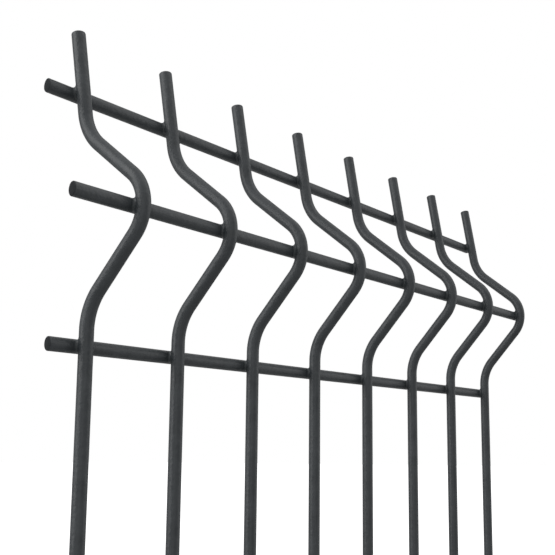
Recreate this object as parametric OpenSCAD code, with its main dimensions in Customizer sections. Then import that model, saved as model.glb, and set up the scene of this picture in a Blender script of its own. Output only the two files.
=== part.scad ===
// Welded mesh fence panel with a V-shaped fold near its top and its bottom. Every upright
// is a round wire bent to one profile, and straight cross wires are welded to its back.
// X runs along the panel, the folds point towards -Y, and +Z is up.
// The origin is the centre of the first upright's foot.

/* [Mesh] */
// Number of uprights
upright_count = 8; // [3:1:12]
// Distance between neighbouring uprights' axes
pitch = 50; // [30:1:100]
// Diameter of an upright, with its coating
upright_d = 5.6; // [3:0.1:8]
// Diameter of a cross wire, with its coating
cross_d = 5.5; // [3:0.1:8]
// Depth that a cross wire and an upright are pressed into each other at a weld
weld_set = 0.5; // [0.2:0.05:1]
// Length of a cross wire beyond the first upright's axis
left_overhang = 15; // [8:0.5:40]
// Length of a nose's cross wire beyond the first upright's axis
nose_overhang = 30.5; // [8:0.5:40]
// Length of every cross wire beyond the last upright's axis
right_overhang = 5; // [3:0.5:40]
// Bevel round the cut ends of every wire
end_bevel = 0.4; // [0.1:0.05:0.8]

/* [Height] */
// Number of tall openings between the two folds
tall_rows = 2; // [1:1:8]
// Height of a tall opening, from one cross wire to the next
tall_step = 200; // [100:5:250]
// Height of the uprights' upper ends above the top cross wire
barb = 25; // [12:1:60]
// Height of the bottom cross wire above the feet
stub = 5; // [4:0.5:30]

/* [Fold] */
// Height from a fold's inner cross wire to the one in its nose
fold_inner = 50; // [40:1:80]
// Height from the cross wire in the nose to the fold's outer one
fold_outer = 50; // [40:1:80]
// Distance of the nose from the panel's plane, between the upright's axes
fold_depth = 26.7; // [20:0.1:35]
// Radius of the nose, on the upright's axis
nose_radius = 16; // [8:0.5:20]
// Radius of a fold's inner and outer bends, on the upright's axis
side_radius = 22; // [12:0.5:26]
// Height of the inner bend's corner beyond the inner cross wire
inner_rise = 14.3; // [13:0.1:20]
// Height of the outer bend's corner short of the outer cross wire
outer_drop = 17.9; // [15:0.1:24]
// Distance of the outer bend's corner behind the panel's plane
outer_back = 4.3; // [0:0.1:10]
// Backward lean of the wire's end beyond the outer bend, in degrees
end_lean = 10; // [0:0.5:20]
// Diameter that an upright loses round a bend, where the wire is drawn thinner
bend_draw = 0.04; // [0.04:0.02:0.4]

/* [Hidden] */
$fn = 64;
coat = "#3c4144";
bend_lap = 0.4;
axis_gap = (upright_d + cross_d) / 2 - weld_set;
last_x = (upright_count - 1) * pitch;

// One fold is worked out in its own frame: [y, z] from the point where the inner cross
// wire crosses the upright's axis, with z away from the panel's middle. Angles are
// measured from upright, and are positive where the wire runs forward, towards -Y.
fold_height = fold_inner + fold_outer;
nose_centre = [nose_radius - fold_depth, fold_inner];
inner_corner = [0, inner_rise];
outer_corner = [outer_back, fold_height - outer_drop];
inner_angle = tangent_angle(nose_centre - inner_corner);
outer_angle = tangent_angle([nose_centre.x - outer_corner.x, outer_corner.y - nose_centre.y]);
inner_tangent = side_radius * tan(inner_angle / 2);
outer_tangent = side_radius * tan((outer_angle - end_lean) / 2);
inner_centre = inner_corner - [side_radius, inner_tangent];
outer_start = outer_corner - outer_tangent * [sin(outer_angle), cos(outer_angle)];
outer_centre = outer_start - side_radius * [cos(outer_angle), -sin(outer_angle)];
outer_end = outer_corner + outer_tangent * [sin(end_lean), cos(end_lean)];

// The panel's plane stands where it puts the foot on the origin
plane_y = -end_point(fold_height + stub).x;
lower_z = stub + fold_height;
upper_z = lower_z + tall_rows * tall_step;

upright_names = [for (i = [1:upright_count]) str("upright_", i)];
middle_names = [for (i = [1:1:tall_rows - 1]) str("middle_cross_wire_", i)];
lower_names = ["bottom_cross_wire", "lower_nose_cross_wire", "lower_fold_cross_wire"];
upper_names = ["top_cross_wire", "upper_nose_cross_wire", "upper_fold_cross_wire"];

// Angle of the line that leaves the origin and touches the nose's circle on its far
// side, where to is the circle's centre, [sideways, along]
function tangent_angle(to) = atan2(-to.x, to.y) + asin(nose_radius / norm(to));

// Point on the leaning end of the wire at a height in the fold's frame
function end_point(height) =
    [outer_corner.x + (height - outer_corner.y) * tan(end_lean), height];

// Puts what is drawn in a fold's frame on the upper fold, or mirrored on the lower one
module on_fold(upper) {
    translate([0, plane_y, upper ? upper_z : lower_z])
        mirror([0, 0, upper ? 0 : 1])
            children();
}

// Draws the child, which stands upright on its origin, from one [y, z] towards another
module along(from, to) {
    run = to - from;
    translate([0, from.x, from.y])
        rotate([atan2(-run.x, run.y), 0, 0])
            children();
}

// Straight round bar from one [y, z] to another
module bar(from, to) {
    along(from, to)
        cylinder(d = upright_d, h = norm(to - from));
}

// Round bar with a bevel at its far end, and at its near end too if both is true
module cut_bar(d, length, both = false) {
    first = both ? [[0, 0], [d / 2 - end_bevel, 0], [d / 2, end_bevel]] : [[0, 0], [d / 2, 0]];
    last = [[d / 2, length - end_bevel], [d / 2 - end_bevel, length], [0, length]];
    rotate_extrude()
        polygon(concat(first, last));
}

// Round bar bent about an axis along X, from one angle through another, where angle 0
// points towards +Y. It runs on into the straight bars at its ends and fuses with them.
module bend(centre, radius, from, turn) {
    lap_angle = atan(bend_lap / radius);
    translate([0, centre.x, centre.y])
        rotate([90, 0, 90])
            rotate([0, 0, from - lap_angle])
                rotate_extrude(angle = turn + 2 * lap_angle)
                    translate([radius, 0])
                        circle(d = upright_d - bend_draw);
}

module nose_bend() {
    bend(nose_centre, nose_radius, 180 - outer_angle, outer_angle + inner_angle);
}

module end_stretch(height) {
    along(outer_end, end_point(height))
        cut_bar(upright_d, norm(end_point(height) - outer_end));
}

// One upright's fold, with its end so high above the outer cross wire
module fold(end) {
    inner_end = inner_centre + side_radius * [cos(inner_angle), sin(inner_angle)];
    nose_start = nose_centre - nose_radius * [cos(inner_angle), sin(inner_angle)];
    nose_end = nose_centre + nose_radius * [-cos(outer_angle), sin(outer_angle)];
    bend(inner_centre, side_radius, 0, inner_angle);
    bar(inner_end, nose_start);
    nose_bend();
    bar(nose_end, outer_start);
    bend(outer_centre, side_radius, -outer_angle, outer_angle - end_lean);
    end_stretch(fold_height + end);
}

module upright(index) {
    color(coat)
        translate([(index - 1) * pitch, 0, 0]) {
            on_fold(true) fold(barb);
            on_fold(false) fold(stub);
            bar([plane_y, lower_z - inner_centre.y], [plane_y, upper_z + inner_centre.y]);
        }
}

// Straight wire behind a [y, z] on the uprights' axis, where they lean forward by an
// angle. It has a saddle at each weld, cut by the child, which is one upright's stretch.
module cross_wire(at, lean, left) {
    centre = at + axis_gap * [cos(lean), sin(lean)];
    difference() {
        translate([-left, centre.x, centre.y])
            rotate([0, 90, 0])
                cut_bar(cross_d, left + last_x + right_overhang, true);
        for (i = [0:upright_count - 1])
            translate([i * pitch, 0, 0])
                children();
    }
}

module outer_cross_wire(upper) {
    color(coat)
        on_fold(upper)
            cross_wire(end_point(fold_height), -end_lean, left_overhang)
                bar(outer_end, end_point(fold_height + cross_d));
}

module nose_cross_wire(upper) {
    color(coat)
        on_fold(upper)
            cross_wire([-fold_depth, fold_inner], 0, nose_overhang)
                nose_bend();
}

module fold_cross_wire(upper) {
    color(coat)
        on_fold(upper)
            cross_wire([0, 0], 0, left_overhang)
                bar([0, -cross_d], [0, inner_centre.y]);
}

module middle_cross_wire(index) {
    height = lower_z + index * tall_step;
    color(coat)
        cross_wire([plane_y, height], 0, left_overhang)
            bar([plane_y, height - cross_d], [plane_y, height + cross_d]);
}

for (i = [1:upright_count]) upright(i);
outer_cross_wire(false);  // bottom_cross_wire
nose_cross_wire(false);  // lower_nose_cross_wire
fold_cross_wire(false);  // lower_fold_cross_wire
for (i = [1:1:tall_rows - 1]) middle_cross_wire(i);
fold_cross_wire(true);  // upper_fold_cross_wire
nose_cross_wire(true);  // upper_nose_cross_wire
outer_cross_wire(true);  // top_cross_wire
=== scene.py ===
# Welded mesh fence panel. Every wire is a round bar swept along the axes that the frame
# gives, each weld is the fillet that a ball leaves as it rolls round the crossing, and one
# satin powder coat covers them all. Sizes are in mm and turn to metres where a mesh is made.
import math

import bpy
import numpy as np
from mathutils import Matrix, Vector


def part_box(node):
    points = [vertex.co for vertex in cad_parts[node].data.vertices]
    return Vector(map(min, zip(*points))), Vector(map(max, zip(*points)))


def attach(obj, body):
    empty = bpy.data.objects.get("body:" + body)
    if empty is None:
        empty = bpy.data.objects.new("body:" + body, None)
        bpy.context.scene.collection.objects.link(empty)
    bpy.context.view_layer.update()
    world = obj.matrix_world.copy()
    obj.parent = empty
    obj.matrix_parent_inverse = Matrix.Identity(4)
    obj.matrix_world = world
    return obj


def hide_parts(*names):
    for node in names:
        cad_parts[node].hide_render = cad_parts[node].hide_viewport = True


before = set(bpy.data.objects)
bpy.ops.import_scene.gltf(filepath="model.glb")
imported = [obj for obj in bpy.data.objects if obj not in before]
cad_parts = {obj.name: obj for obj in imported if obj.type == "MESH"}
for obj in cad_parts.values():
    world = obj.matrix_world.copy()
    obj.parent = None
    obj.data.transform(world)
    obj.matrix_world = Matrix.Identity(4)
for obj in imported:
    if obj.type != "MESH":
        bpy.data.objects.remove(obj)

mm = 0.001
seed = 7016
draws = np.random.default_rng(seed)
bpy.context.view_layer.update()     # the solids' box, before any piece is added
print("frame loaded:", len(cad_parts), "solids")


# What the frame gives

meshValues = {
    "weldSet": 0.5,      # how deep two wires are pressed into each other at a weld
    "barb": 25.0,        # upright's end above the top cross wire
    "stub": 5.0,         # upright's foot below the bottom cross wire
}

uprightNodes = sorted(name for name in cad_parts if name.startswith("upright_"))
crossNodes = sorted(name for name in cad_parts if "cross_wire" in name)


def boxOf(node):
    # Lowest and highest corner of a solid, in mm
    low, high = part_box(node)
    return np.array(low) / mm, np.array(high) / mm


def axisOf(node):
    # A cross wire's axis [y, z], the middle of its box
    low, high = boxOf(node)
    return (low + high)[1:] / 2


uprightLow, uprightHigh = boxOf(uprightNodes[0])
crossLow, crossHigh = boxOf(crossNodes[0])
uprightD = uprightHigh[0] - uprightLow[0]
crossD = crossHigh[2] - crossLow[2]
uprightX = np.array([sum(boxOf(node))[0] / 2 for node in uprightNodes])
axisGap = (uprightD + crossD) / 2 - meshValues["weldSet"]
planeY = axisOf("upper_fold_cross_wire")[0] - axisGap
lowerZ = axisOf("lower_fold_cross_wire")[1]
upperZ = axisOf("upper_fold_cross_wire")[1]


# The uprights' path

foldValues = {
    "noseRadius": 16.0,    # on the wire's axis
    "sideRadius": 22.0,    # of the inner and outer bends, on the wire's axis
    "innerRise": 14.3,     # inner bend's corner beyond the inner cross wire
    "outerDrop": 17.9,     # outer bend's corner short of the outer cross wire
    "outerBack": 4.3,      # outer bend's corner behind the panel's plane
    "endLean": math.radians(10.0),
    "fewest": (3, 4),      # rings on a short straight run, and steps on a slight bend
}


def tangentAngle(to):
    # Lean of the line that leaves the origin and touches the nose's circle on its far side
    reach = math.hypot(*to)
    return math.atan2(-to[0], to[1]) + math.asin(foldValues["noseRadius"] / reach)


def foldCorners(end):
    # Corners [y, z] of one fold, from its inner corner to the wire's end, which stands so
    # high beyond the outer cross wire. The nose's corner is where its two tangents meet
    v = foldValues
    lean = v["endLean"]
    depth = axisOf("upper_fold_cross_wire")[0] - axisOf("upper_nose_cross_wire")[0]
    noseZ = axisOf("upper_nose_cross_wire")[1] - upperZ
    height = axisOf("top_cross_wire")[1] + axisGap * math.sin(lean) - upperZ
    inner = np.array([0.0, v["innerRise"]])
    outer = np.array([v["outerBack"], height - v["outerDrop"]])
    nose = np.array([v["noseRadius"] - depth, noseZ])
    rise = tangentAngle(nose - inner)
    fall = tangentAngle((nose[0] - outer[0], outer[1] - nose[1]))
    ways = np.array([[-math.sin(rise), math.sin(fall)], [math.cos(rise), math.cos(fall)]])
    along = np.linalg.solve(ways, outer - inner)[0]
    tip = inner + along * ways[:, 0]
    last = [outer[0] + (v["outerDrop"] + end) * math.tan(lean), height + end]
    return np.array([inner, tip, outer, last])


def roundedPath(corners, radii, spacing, turnStep):
    # Straight runs between corners, joined by arcs that touch both. On an arc the heading
    # turns evenly, and a point lies at centre + radius * (sin, -cos) of its heading. Gives
    # the points and the heading at each
    fewestRings, fewestSteps = foldValues["fewest"]
    runs = np.diff(corners, axis=0)
    lengths = np.linalg.norm(runs, axis=1)
    heading = np.arctan2(runs[:, 1], runs[:, 0])
    turn = np.diff(heading)
    cut = np.concatenate([[0], radii * np.tan(np.abs(turn) / 2), [0]])
    points, headings = [], []
    for i, length in enumerate(lengths):
        start, end = cut[i], length - cut[i + 1]
        count = max(fewestRings, round((end - start) / spacing) + 1)
        along = np.linspace(start, end, count)[:, None]
        points.append(corners[i] + along * runs[i] / length)
        headings.append(np.full(count, heading[i]))
        if i < len(turn):
            count = max(fewestSteps, round(abs(turn[i]) / turnStep))
            angle = heading[i] + turn[i] * np.linspace(0, 1, count + 1)[1:-1]
            radius = radii[i] * np.sign(turn[i])
            centre = points[-1][-1] + radius * np.array([-math.sin(heading[i]), math.cos(heading[i])])
            points.append(centre + radius * np.stack([np.sin(angle), -np.cos(angle)], 1))
            headings.append(angle)
    return np.concatenate(points), np.concatenate(headings)


# Sweeping a wire

wireValues = {
    "sides": 40,         # points round a wire
    "spacing": 2.5,      # between rings on a straight run
    "turnStep": math.radians(2.5),    # between rings on a bend
    "rim": 0.6,          # rounding of a cut end under its coat
    "dome": 0.15,        # how far an end's middle stands proud of its rim
    "rimRings": 6,
    "faceRings": (0.25, 0.5, 0.75),   # shares of a cut face's radius, from its middle
    "clear": 0.03,       # keeps the finished skin just inside the solids
    "weldReach": 3.2,    # how far the painted shade by a weld reaches along the wires
    "shear": math.tan(math.radians(18)),   # slant of the cross wires' cut ends
    "apart": 1000.0,     # from one wire's place in the coat's pattern to the next one's
    "firstCross": 20,    # the first cross wire's place there, past the uprights'
}


def sweepWire(points, tangents, side, radius, shear=0.0):
    # Rings of the wire's radius stand square to the path. At both ends the rings shrink
    # along a quarter circle of the rim's radius, then over a shallow dome to one point.
    # Shear slants both ends: it draws a point back by that slope times its distance, along
    # side, from the edge that stays. Gives the skin's points, for each its distance along
    # the wire and place across it, and the faces
    v = wireValues
    rim, dome = v["rim"], v["dome"]
    radius = radius - v["clear"]
    turn = np.linspace(math.pi / 2, 0, v["rimRings"])
    flat = radius - rim
    face = np.array(v["faceRings"])
    offset = np.concatenate([dome * face ** 2, dome + rim * (1 - np.sin(turn))])
    shrunk = np.concatenate([flat * face, flat + rim * np.cos(turn)])
    first, last = points[0], points[-1]
    centres = np.concatenate([first + offset[:, None] * tangents[0], points[1:-1],
                              last - offset[::-1, None] * tangents[-1]])
    ways = np.concatenate([np.repeat(tangents[:1], len(offset), 0), tangents[1:-1],
                           np.repeat(tangents[-1:], len(offset), 0)])
    radii = np.concatenate([shrunk, np.full(len(points) - 2, radius), shrunk[::-1]])
    angle = np.linspace(0, 2 * math.pi, v["sides"], endpoint=False)
    ring = radii[:, None, None] * np.stack([np.cos(angle), np.sin(angle)], 1)
    up = np.cross(ways, side)
    skin = centres[:, None] + ring[..., :1] * side + ring[..., 1:] * up[:, None]
    ends = len(offset)
    skin[:ends] += shear * (ring[:ends, :, :1] + radius) * tangents[0]
    skin[-ends:] -= shear * (ring[-ends:, :, :1] + radius) * tangents[-1]
    tips = [first + shear * radius * tangents[0], last - shear * radius * tangents[-1]]
    reach = np.concatenate([[0], np.cumsum(np.linalg.norm(np.diff(centres, axis=0), axis=1))])
    wireSpace = np.concatenate([np.broadcast_to(reach[:, None, None], ring[..., :1].shape), ring], 2)
    tipSpace = np.array([[0, 0, 0], [reach[-1], 0, 0]])
    allPoints = np.concatenate([skin.reshape(-1, 3), tips])
    allSpace = np.concatenate([wireSpace.reshape(-1, 3), tipSpace])
    return allPoints, allSpace, tubeFaces(len(centres), v["sides"])


def tubeFaces(rings, sides):
    # Quads between neighbouring rings, and a fan of triangles from each end's middle point
    index = np.arange(rings * sides).reshape(rings, sides)
    after = np.roll(index, -1, axis=1)
    quads = np.stack([index[:-1], after[:-1], after[1:], index[1:]], 2).reshape(-1, 4)
    start, end = rings * sides, rings * sides + 1
    near = np.stack([np.full(sides, start), after[0], index[0]], 1)
    far = np.stack([np.full(sides, end), index[-1], after[-1]], 1)
    return quads.tolist() + near.tolist() + far.tolist()


def cutNearness(space):
    # 1 on a cut end's face, falling to 0 over its rim, by the distance from the end
    reach = space[:, 0]
    fromEnd = np.minimum(reach - reach.min(), reach.max() - reach)
    return np.clip(1 - (fromEnd - wireValues["dome"]) / wireValues["rim"], 0, 1)


def weldNearness(points, centres):
    # Mask for the painted shade where the wires meet: 1 at a weld's middle and 0 far away,
    # a bell curve of the distance to the nearest one
    nearest = np.full(len(points), np.inf)
    for centre in centres:
        nearest = np.minimum(nearest, np.linalg.norm(points - centre, axis=1))
    return np.exp(-((nearest / wireValues["weldReach"]) ** 2))


def makePiece(name, points, faces, wireSpace, weld, cut, coat, node=None):
    # The piece's mesh in metres, and for the coat its place along the wire, its
    # nearness to a weld, where the coat paints a little shade, and to a cut end
    mesh = bpy.data.meshes.new(name)
    mesh.from_pydata((points * mm).tolist(), [], faces)
    mesh.attributes.new("wireSpace", "FLOAT_VECTOR", "POINT")
    mesh.attributes["wireSpace"].data.foreach_set("vector", (wireSpace * mm).ravel())
    for key, value in (("weld", weld), ("cut", cut)):
        mesh.attributes.new(key, "FLOAT", "POINT")
        mesh.attributes[key].data.foreach_set("value", value)
    mesh.polygons.foreach_set("use_smooth", np.ones(len(mesh.polygons), bool))
    mesh.materials.append(coat)
    piece = bpy.data.objects.new(name, mesh)
    bpy.context.scene.collection.objects.link(piece)
    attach(piece, "root")
    if node:
        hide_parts(node)
    return piece


# Welds

weldValues = {
    "ball": 0.9,         # radius of the ball whose rolling leaves the fillet
    "spread": 0.12,      # share by which that radius differs from weld to weld
    "waver": 0.10,       # share by which it changes round one weld
    "waves": ((2, 0.6), (3, 0.4)),    # swells round a weld, and each one's share of that change
    "around": 72,        # points round a weld
    "across": 9,         # points from one wire to the other
    "sunk": 0.6,         # how deep the fillet's hidden back lies in the wires
    "straight": 1e6,     # bend radius that stands for a straight upright
    "sharp": math.radians(40),        # steeper edges than this stay sharp
}


def weldFillets(origins, normals, tangents, bend):
    # A ball stays in touch with both wires as it goes round their crossing. Its middle is
    # at cross radius + ball from the cross wire's axis and at upright radius + ball from
    # the upright's, which a bend carries round its own centre. The arc on the ball between
    # the two points of touch is the fillet, and points sunk in the wires close its back. x
    # runs along the cross wire, n from the upright's axis towards it and t up the upright
    v = weldValues
    uprightR, crossR = uprightD / 2, crossD / 2
    count = len(origins)
    psi = np.linspace(0, 2 * math.pi, v["around"], endpoint=False)
    phase = draws.uniform(0, 2 * math.pi, (count, len(v["waves"]), 1))
    size = 1 + draws.uniform(-v["spread"], v["spread"], (count, 1))
    waves = sum(share * np.sin(swells * psi + phase[:, k])
                for k, (swells, share) in enumerate(v["waves"]))
    ball = v["ball"] * size * (1 + v["waver"] * waves)
    limit = (bend - uprightR - ball) ** 2 - (bend - axisGap) ** 2 - (crossR + ball) ** 2
    alpha = np.arccos(limit / (2 * (bend - axisGap) * (crossR + ball))) * np.sin(psi)
    n = axisGap - (crossR + ball) * np.cos(alpha)
    t = (crossR + ball) * np.sin(alpha)
    reach = np.hypot(bend - n, t)
    x = np.sign(np.cos(psi)) * np.sqrt(np.maximum((uprightR + ball) ** 2 - (bend - reach) ** 2, 0))
    middle = np.stack([x, n, t], 2)
    onUpright = np.stack([0 * x, bend + bend * (n - bend) / reach, bend * t / reach], 2)
    onCross = np.stack([x, 0 * x + axisGap, 0 * x], 2)
    ball = ball[..., None]
    toUpright = (onUpright - middle) / (uprightR + ball)
    toCross = (onCross - middle) / (crossR + ball)
    angle = np.arccos(np.sum(toUpright * toCross, 2))[..., None, None]
    share = np.linspace(0, 1, v["across"])[:, None]
    arc = (np.sin((1 - share) * angle) * toUpright[:, :, None]
           + np.sin(share * angle) * toCross[:, :, None]) / np.sin(angle)
    deep = ball + v["sunk"]
    back = np.stack([deep * toCross, deep * (toCross + toUpright), deep * toUpright], 2)
    local = middle[:, :, None] + np.concatenate([ball[:, :, None] * arc, back], 2)
    sideways = np.array([1.0, 0.0, 0.0])
    axes = np.stack([np.broadcast_to(sideways, normals.shape), normals, tangents], 1)
    points = origins[:, None, None] + np.einsum("wpai,wij->wpaj", local, axes)
    return points, ringFaces(points.shape[:3])


def ringFaces(shape):
    # Quads of a grid that closes on itself both ways, once for each weld
    index = np.arange(np.prod(shape)).reshape(shape)
    right = np.roll(index, -1, axis=1)
    above = np.roll(index, -1, axis=2)
    corner = np.roll(right, -1, axis=2)
    return np.stack([index, right, corner, above], 3).reshape(-1, 4).tolist()


def crossingsOf(node):
    # Where a cross wire meets the uprights' axis, the way from there to the wire's axis,
    # the way up the upright, and the radius of the bend that the upright makes there
    axis = axisOf(node)
    lean = 0.0
    if node == "top_cross_wire":
        lean = foldValues["endLean"]
    if node == "bottom_cross_wire":
        lean = -foldValues["endLean"]
    normal = np.array([0.0, math.cos(lean), -math.sin(lean)])
    tangent = np.array([0.0, math.sin(lean), math.cos(lean)])
    count = len(uprightX)
    origins = np.column_stack([uprightX, np.tile(axis - axisGap * normal[1:], (count, 1))])
    bend = foldValues["noseRadius"] if "nose" in node else weldValues["straight"]
    return origins, np.tile(normal, (count, 1)), np.tile(tangent, (count, 1)), bend


def weldCentres():
    # The middle of every weld, where the two wires' skins would touch
    spots = []
    for node in crossNodes:
        origins, normals, _, _ = crossingsOf(node)
        spots.append(origins + normals * uprightD / 2)
    return np.concatenate(spots)


# Finishes

def linear(hexColour):
    # An sRGB hex value as the linear colour that a shader reads
    parts = np.array([int(hexColour[i:i + 2], 16) for i in (1, 3, 5)]) / 255
    light = np.where(parts <= 0.04045, parts / 12.92, ((parts + 0.055) / 1.055) ** 2.4)
    return (*light.tolist(), 1.0)


def addNode(tree, kind, inputs=None, **settings):
    # One node with its settings. An input that is a socket is linked, any other is set
    node = tree.nodes.new(kind)
    for name, value in settings.items():
        setattr(node, name, value)
    for name, value in (inputs or {}).items():
        if isinstance(value, bpy.types.NodeSocket):
            tree.links.new(value, node.inputs[name])
        else:
            node.inputs[name].default_value = value
    return node


def emptyMaterial(name):
    # A material whose node tree holds nothing yet
    material = bpy.data.materials.new(name)
    material.use_nodes = True
    material.node_tree.nodes.clear()
    return material, material.node_tree


coatValues = {
    "body": "#373b3e",       # anthracite grey
    "pale": "#424649",       # where the powder lies thick
    "welded": "#363b3e",     # painted shade, a touch darker than the body, where the wires meet at a weld
    "cutEnd": "#1f2225",     # a sheared face, which takes little powder and stays dark
    "ior": 1.5,              # of polyester
    "roughness": (0.36, 0.50),        # where the powder lies thin, and where it lies thick
    "cutRough": 0.55,        # how much rougher a cut end is
    "mottle": 7.0,           # width of a patch of thicker powder
    "patch": (0.35, 0.65),   # mottle's values where the thin powder ends and the thick begins
    "patchTint": 0.9,        # share of the pale colour that the thick powder brings
    "drawTint": (-0.15, 0.35),        # share of it that drawing marks take and bring
    "span": (0.3, 0.7),      # a noise's values that are taken for its low and high end
    "peel": 1.7,             # width of an orange peel cell
    "peelHeight": 0.20,
    "grain": 0.45,           # width of a powder grain's trace, drawn coarse enough to show
    "grainHeight": 0.025,
    "drawLength": 22.0,      # length and width of a mark left by the drawing die
    "drawWidth": 0.8,
    "drawHeight": 0.07,
    "mottleDetail": 3.0,     # finer copies that are added to a noise
    "drawDetail": 2.0,
    "fineDetail": 1.0,       # for the peel and the grain
}


def powderCoat():
    # Polyester powder sprayed on galvanised wire and baked: a satin dielectric film with
    # orange peel, faint die marks along the wire and slightly uneven thickness
    v = coatValues
    material, tree = emptyMaterial("powder_coat_anthracite")
    place = addNode(tree, "ShaderNodeTexCoord").outputs["Object"]
    wirePlace = addNode(tree, "ShaderNodeAttribute", attribute_name="wireSpace").outputs["Vector"]
    weld = addNode(tree, "ShaderNodeAttribute", attribute_name="weld").outputs["Fac"]
    cut = addNode(tree, "ShaderNodeAttribute", attribute_name="cut").outputs["Fac"]
    perWire = [1 / (v["drawLength"] * mm), 1 / (v["drawWidth"] * mm), 1 / (v["drawWidth"] * mm)]
    stretched = addNode(tree, "ShaderNodeMapping", {"Vector": wirePlace, "Scale": perWire})
    die = addNode(tree, "ShaderNodeTexNoise",
                  {"Vector": stretched.outputs["Vector"], "Scale": 1.0, "Detail": v["drawDetail"]})
    mottle = addNode(tree, "ShaderNodeTexNoise",
                     {"Vector": place, "Scale": 1 / (v["mottle"] * mm), "Detail": v["mottleDetail"]})
    peel = addNode(tree, "ShaderNodeTexNoise",
                   {"Vector": place, "Scale": 1 / (v["peel"] * mm), "Detail": v["fineDetail"]})
    grain = addNode(tree, "ShaderNodeTexNoise",
                    {"Vector": place, "Scale": 1 / (v["grain"] * mm), "Detail": v["fineDetail"]})
    thick = addNode(tree, "ShaderNodeMapRange",
                    {"Value": mottle.outputs["Fac"], "From Min": v["patch"][0],
                     "From Max": v["patch"][1], "To Min": 0.0, "To Max": v["patchTint"]})
    lined = addNode(tree, "ShaderNodeMapRange",
                    {"Value": die.outputs["Fac"], "From Min": v["span"][0],
                     "From Max": v["span"][1], "To Min": v["drawTint"][0],
                     "To Max": v["drawTint"][1]})
    shade = addNode(tree, "ShaderNodeMath", {0: thick.outputs["Result"], 1: lined.outputs["Result"]},
                    operation="ADD", use_clamp=True)
    # A colour mix's socket 0 is its share, 6 and 7 are its two colours, and 2 is what it gives
    coat = addNode(tree, "ShaderNodeMix", {0: shade.outputs[0], 6: linear(v["body"]),
                                           7: linear(v["pale"])}, data_type="RGBA")
    # Painted shade: the coat turns a touch darker near each weld, where the wires meet
    weldShaded = addNode(tree, "ShaderNodeMix", {0: weld, 6: coat.outputs[2], 7: linear(v["welded"])},
                     data_type="RGBA")
    ended = addNode(tree, "ShaderNodeMix", {0: cut, 6: weldShaded.outputs[2], 7: linear(v["cutEnd"])},
                    data_type="RGBA")
    rough = addNode(tree, "ShaderNodeMapRange",
                    {"Value": mottle.outputs["Fac"], "From Min": v["span"][0],
                     "From Max": v["span"][1], "To Min": v["roughness"][0],
                     "To Max": v["roughness"][1]})
    blunt = addNode(tree, "ShaderNodeMath", {0: cut, 1: v["cutRough"], 2: rough.outputs["Result"]},
                    operation="MULTIPLY_ADD")
    bump = addNode(tree, "ShaderNodeBump", {"Height": peel.outputs["Fac"], "Strength": 1.0,
                                            "Distance": v["peelHeight"] * mm})
    bump = addNode(tree, "ShaderNodeBump", {"Height": die.outputs["Fac"], "Strength": 1.0,
                                            "Distance": v["drawHeight"] * mm,
                                            "Normal": bump.outputs["Normal"]})
    bump = addNode(tree, "ShaderNodeBump", {"Height": grain.outputs["Fac"], "Strength": 1.0,
                                            "Distance": v["grainHeight"] * mm,
                                            "Normal": bump.outputs["Normal"]})
    shader = addNode(tree, "ShaderNodeBsdfPrincipled",
                     {"Base Color": ended.outputs[2], "Roughness": blunt.outputs[0],
                      "Metallic": 0.0, "IOR": v["ior"], "Normal": bump.outputs["Normal"]})
    addNode(tree, "ShaderNodeOutputMaterial", {"Surface": shader.outputs["BSDF"]})
    return material


# Pieces

def buildUprights(coat):
    # Each upright's path lies in a plane across the panel, so X is every ring's side
    v = wireValues
    upper = foldCorners(meshValues["barb"])
    lower = foldCorners(meshValues["stub"])
    corners = np.concatenate([[planeY, lowerZ] + lower[::-1] * [1, -1], [planeY, upperZ] + upper])
    radii = [foldValues[key] for key in ("sideRadius", "noseRadius", "sideRadius")]
    path, heading = roundedPath(corners, np.array(radii + radii), v["spacing"], v["turnStep"])
    tangents = np.stack([0 * heading, np.cos(heading), np.sin(heading)], 1)
    centres = weldCentres()
    for i, node in enumerate(uprightNodes):
        points = np.column_stack([np.full(len(path), uprightX[i]), path])
        skin, space, faces = sweepWire(points, tangents, np.array([1.0, 0, 0]), uprightD / 2)
        weld, cut = weldNearness(skin, centres), cutNearness(space)
        space = space + [v["apart"] * i, 0, 0]
        makePiece(node + "_coated", skin, faces, space, weld, cut, coat, node)


def buildCrossWires(coat):
    # Straight wires along X, from one end of their solid's box to the other
    v = wireValues
    centres = weldCentres()
    for i, node in enumerate(crossNodes):
        low, high = boxOf(node)
        count = round((high[0] - low[0]) / v["spacing"]) + 1
        x = np.linspace(low[0], high[0], count)
        points = np.column_stack([x, np.tile(axisOf(node), (count, 1))])
        tangents = np.tile([1.0, 0.0, 0.0], (count, 1))
        skin, space, faces = sweepWire(points, tangents, np.array([0, 1.0, 0]), crossD / 2, v["shear"])
        weld, cut = weldNearness(skin, centres), cutNearness(space)
        space = space + [v["apart"] * (v["firstCross"] + i), 0, 0]
        makePiece(node + "_coated", skin, faces, space, weld, cut, coat, node)


def buildWelds(coat):
    # One mesh of fillets for each cross wire, all of it in the painted weld shade
    for node in crossNodes:
        points, faces = weldFillets(*crossingsOf(node))
        skin = points.reshape(-1, 3)
        piece = makePiece(node.replace("cross_wire", "welds"), skin, faces, skin,
                          np.ones(len(skin)), np.zeros(len(skin)), coat)
        piece.data.set_sharp_from_angle(angle=weldValues["sharp"])


# Camera, floor and light

cameraValues = {
    "stand": (-251.85, -273.26, -38.01),   # from where upright_1 crosses the upper fold wire
    "heading": 56.66,                      # degrees from +Y towards +X
    "pitch": 9.48,                         # degrees up
    "roll": 0.118,                         # degrees
    "focal": 982.43,                       # px of the picture
    "centre": (330.0, 287.0),              # px, where the lens's axis meets the picture
    "picture": 555.0,                      # px, its width and height
    "sensor": 36.0,
    "clip": (0.01, 100.0),                 # metres
}


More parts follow.
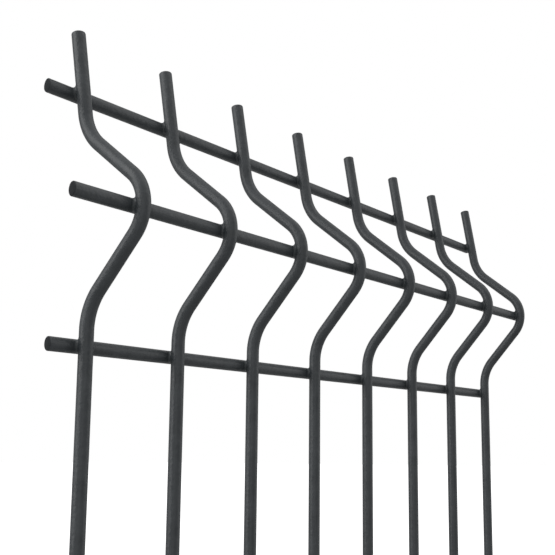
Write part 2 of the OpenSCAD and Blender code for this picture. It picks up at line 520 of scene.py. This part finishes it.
def placeCamera():
    # The shift moves the lens's axis from the picture's middle to the centre given above. It
    # is kept small enough for views from other sides to show the whole panel
    v = cameraValues
    lens = bpy.data.cameras.new("studio_camera")
    camera = bpy.data.objects.new("studio_camera", lens)
    bpy.context.scene.collection.objects.link(camera)
    turn = (Matrix.Rotation(math.radians(-v["heading"]), 4, "Z")
            @ Matrix.Rotation(math.radians(90 + v["pitch"]), 4, "X")
            @ Matrix.Rotation(math.radians(v["roll"]), 4, "Z"))
    start = np.array([uprightX[0], planeY, upperZ])
    camera.matrix_world = Matrix.Translation(Vector((start + v["stand"]) * mm)) @ turn
    lens.sensor_width = v["sensor"]
    lens.lens = v["focal"] / v["picture"] * lens.sensor_width
    lens.shift_x = (v["picture"] / 2 - v["centre"][0]) / v["picture"]
    lens.shift_y = (v["centre"][1] - v["picture"] / 2) / v["picture"]
    lens.clip_start, lens.clip_end = v["clip"]
    bpy.context.scene.camera = camera


stageValues = {
    "floorSize": 60000.0,
    "floorDrop": 0.6,        # below the feet, clear of their lowest rim
    "paper": "#f4f4f4",
    "paperRough": 0.9,
    "glow": (0.13, 1.0),     # the paper's own light near the feet, and far away
    "glowReach": (300.0, 2600.0),     # distances between which it grows
    "ambient": 0.34,         # what the wires see of the room between the lamps
}

# name: direction from the panel's middle, distance in mm, width and height in mm, radiance
lampValues = {
    "side_lamp": ((-0.78, 0.40, 0.48), 1300, 900, 1400, 2.1),
    "roof_lamp": ((0.0, -0.1, 1.0), 1500, 1800, 1800, 0.38),
    "high_lamp": ((0.45, -0.55, 0.70), 1500, 1600, 1600, 0.5),
    "front_lamp": ((-0.75, -0.62, 0.25), 1500, 1500, 1500, 0.33),
    "right_lamp": ((0.80, -0.57, 0.20), 1500, 1100, 1100, 0.4),
    "rear_lamp": ((0.75, 0.60, 0.25), 1800, 1400, 1400, 0.5),
}


def buildFloor():
    # White seamless paper, matt. It shows the panel's soft shadow near the feet, and glows
    # more and more with its distance from them, so that it meets the background unseen
    v = stageValues
    material, tree = emptyMaterial("white_paper")
    place = addNode(tree, "ShaderNodeTexCoord").outputs["Object"]
    away = addNode(tree, "ShaderNodeVectorMath", {0: place}, operation="LENGTH").outputs["Value"]
    near, far = v["glowReach"]
    glow = addNode(tree, "ShaderNodeMapRange",
                   {"Value": away, "From Min": near * mm, "From Max": far * mm,
                    "To Min": v["glow"][0], "To Max": v["glow"][1]}, interpolation_type="SMOOTHSTEP")
    shader = addNode(tree, "ShaderNodeBsdfPrincipled",
                     {"Base Color": linear(v["paper"]), "Roughness": v["paperRough"],
                      "Emission Color": (1, 1, 1, 1), "Emission Strength": glow.outputs["Result"]})
    addNode(tree, "ShaderNodeOutputMaterial", {"Surface": shader.outputs["BSDF"]})
    half = v["floorSize"] / 2 * mm
    z = -v["floorDrop"] * mm
    mesh = bpy.data.meshes.new("floor")
    mesh.from_pydata([(-half, -half, z), (half, -half, z), (half, half, z), (-half, half, z)], [],
                     [(0, 1, 2, 3)])
    mesh.materials.append(material)
    floor = bpy.data.objects.new("floor", mesh)
    bpy.context.scene.collection.objects.link(floor)
    floor.visible_diffuse = False
    floor.visible_glossy = False


def buildLight():
    # Soft boxes that the camera doesn't see, each with radiance * pi * area as its power, in
    # a dim room that the camera sees as white
    middle = Vector(np.array([(uprightX[0] + uprightX[-1]) / 2, planeY, (lowerZ + upperZ) / 2]) * mm)
    for name, (way, distance, width, height, radiance) in lampValues.items():
        lamp = bpy.data.lights.new(name, "AREA")
        lamp.shape = "RECTANGLE"
        lamp.size, lamp.size_y = width * mm, height * mm
        lamp.energy = radiance * math.pi * lamp.size * lamp.size_y
        holder = bpy.data.objects.new(name, lamp)
        bpy.context.scene.collection.objects.link(holder)
        away = Vector(way).normalized()
        holder.location = middle + away * distance * mm
        holder.rotation_euler = away.to_track_quat("Z", "Y").to_euler()
        holder.visible_camera = False
    world = bpy.data.worlds.new("studio")
    world.use_nodes = True
    tree = world.node_tree
    tree.nodes.clear()
    seen = addNode(tree, "ShaderNodeBackground", {"Color": (1, 1, 1, 1), "Strength": 1.0})
    room = addNode(tree, "ShaderNodeBackground",
                   {"Color": (1, 1, 1, 1), "Strength": stageValues["ambient"]})
    ray = addNode(tree, "ShaderNodeLightPath")
    both = addNode(tree, "ShaderNodeMixShader", {0: ray.outputs["Is Camera Ray"],
                                                 1: room.outputs[0], 2: seen.outputs[0]})
    addNode(tree, "ShaderNodeOutputWorld", {"Surface": both.outputs[0]})
    bpy.context.scene.world = world
    bpy.context.scene.view_settings.view_transform = "Standard"


coat = powderCoat()
buildUprights(coat)
print("uprights bent:", len(uprightNodes))
buildCrossWires(coat)
print("cross wires laid:", len(crossNodes))
buildWelds(coat)
print("welds filleted:", len(uprightNodes) * len(crossNodes))
placeCamera()
buildFloor()
buildLight()
print("camera, floor and lamps placed")
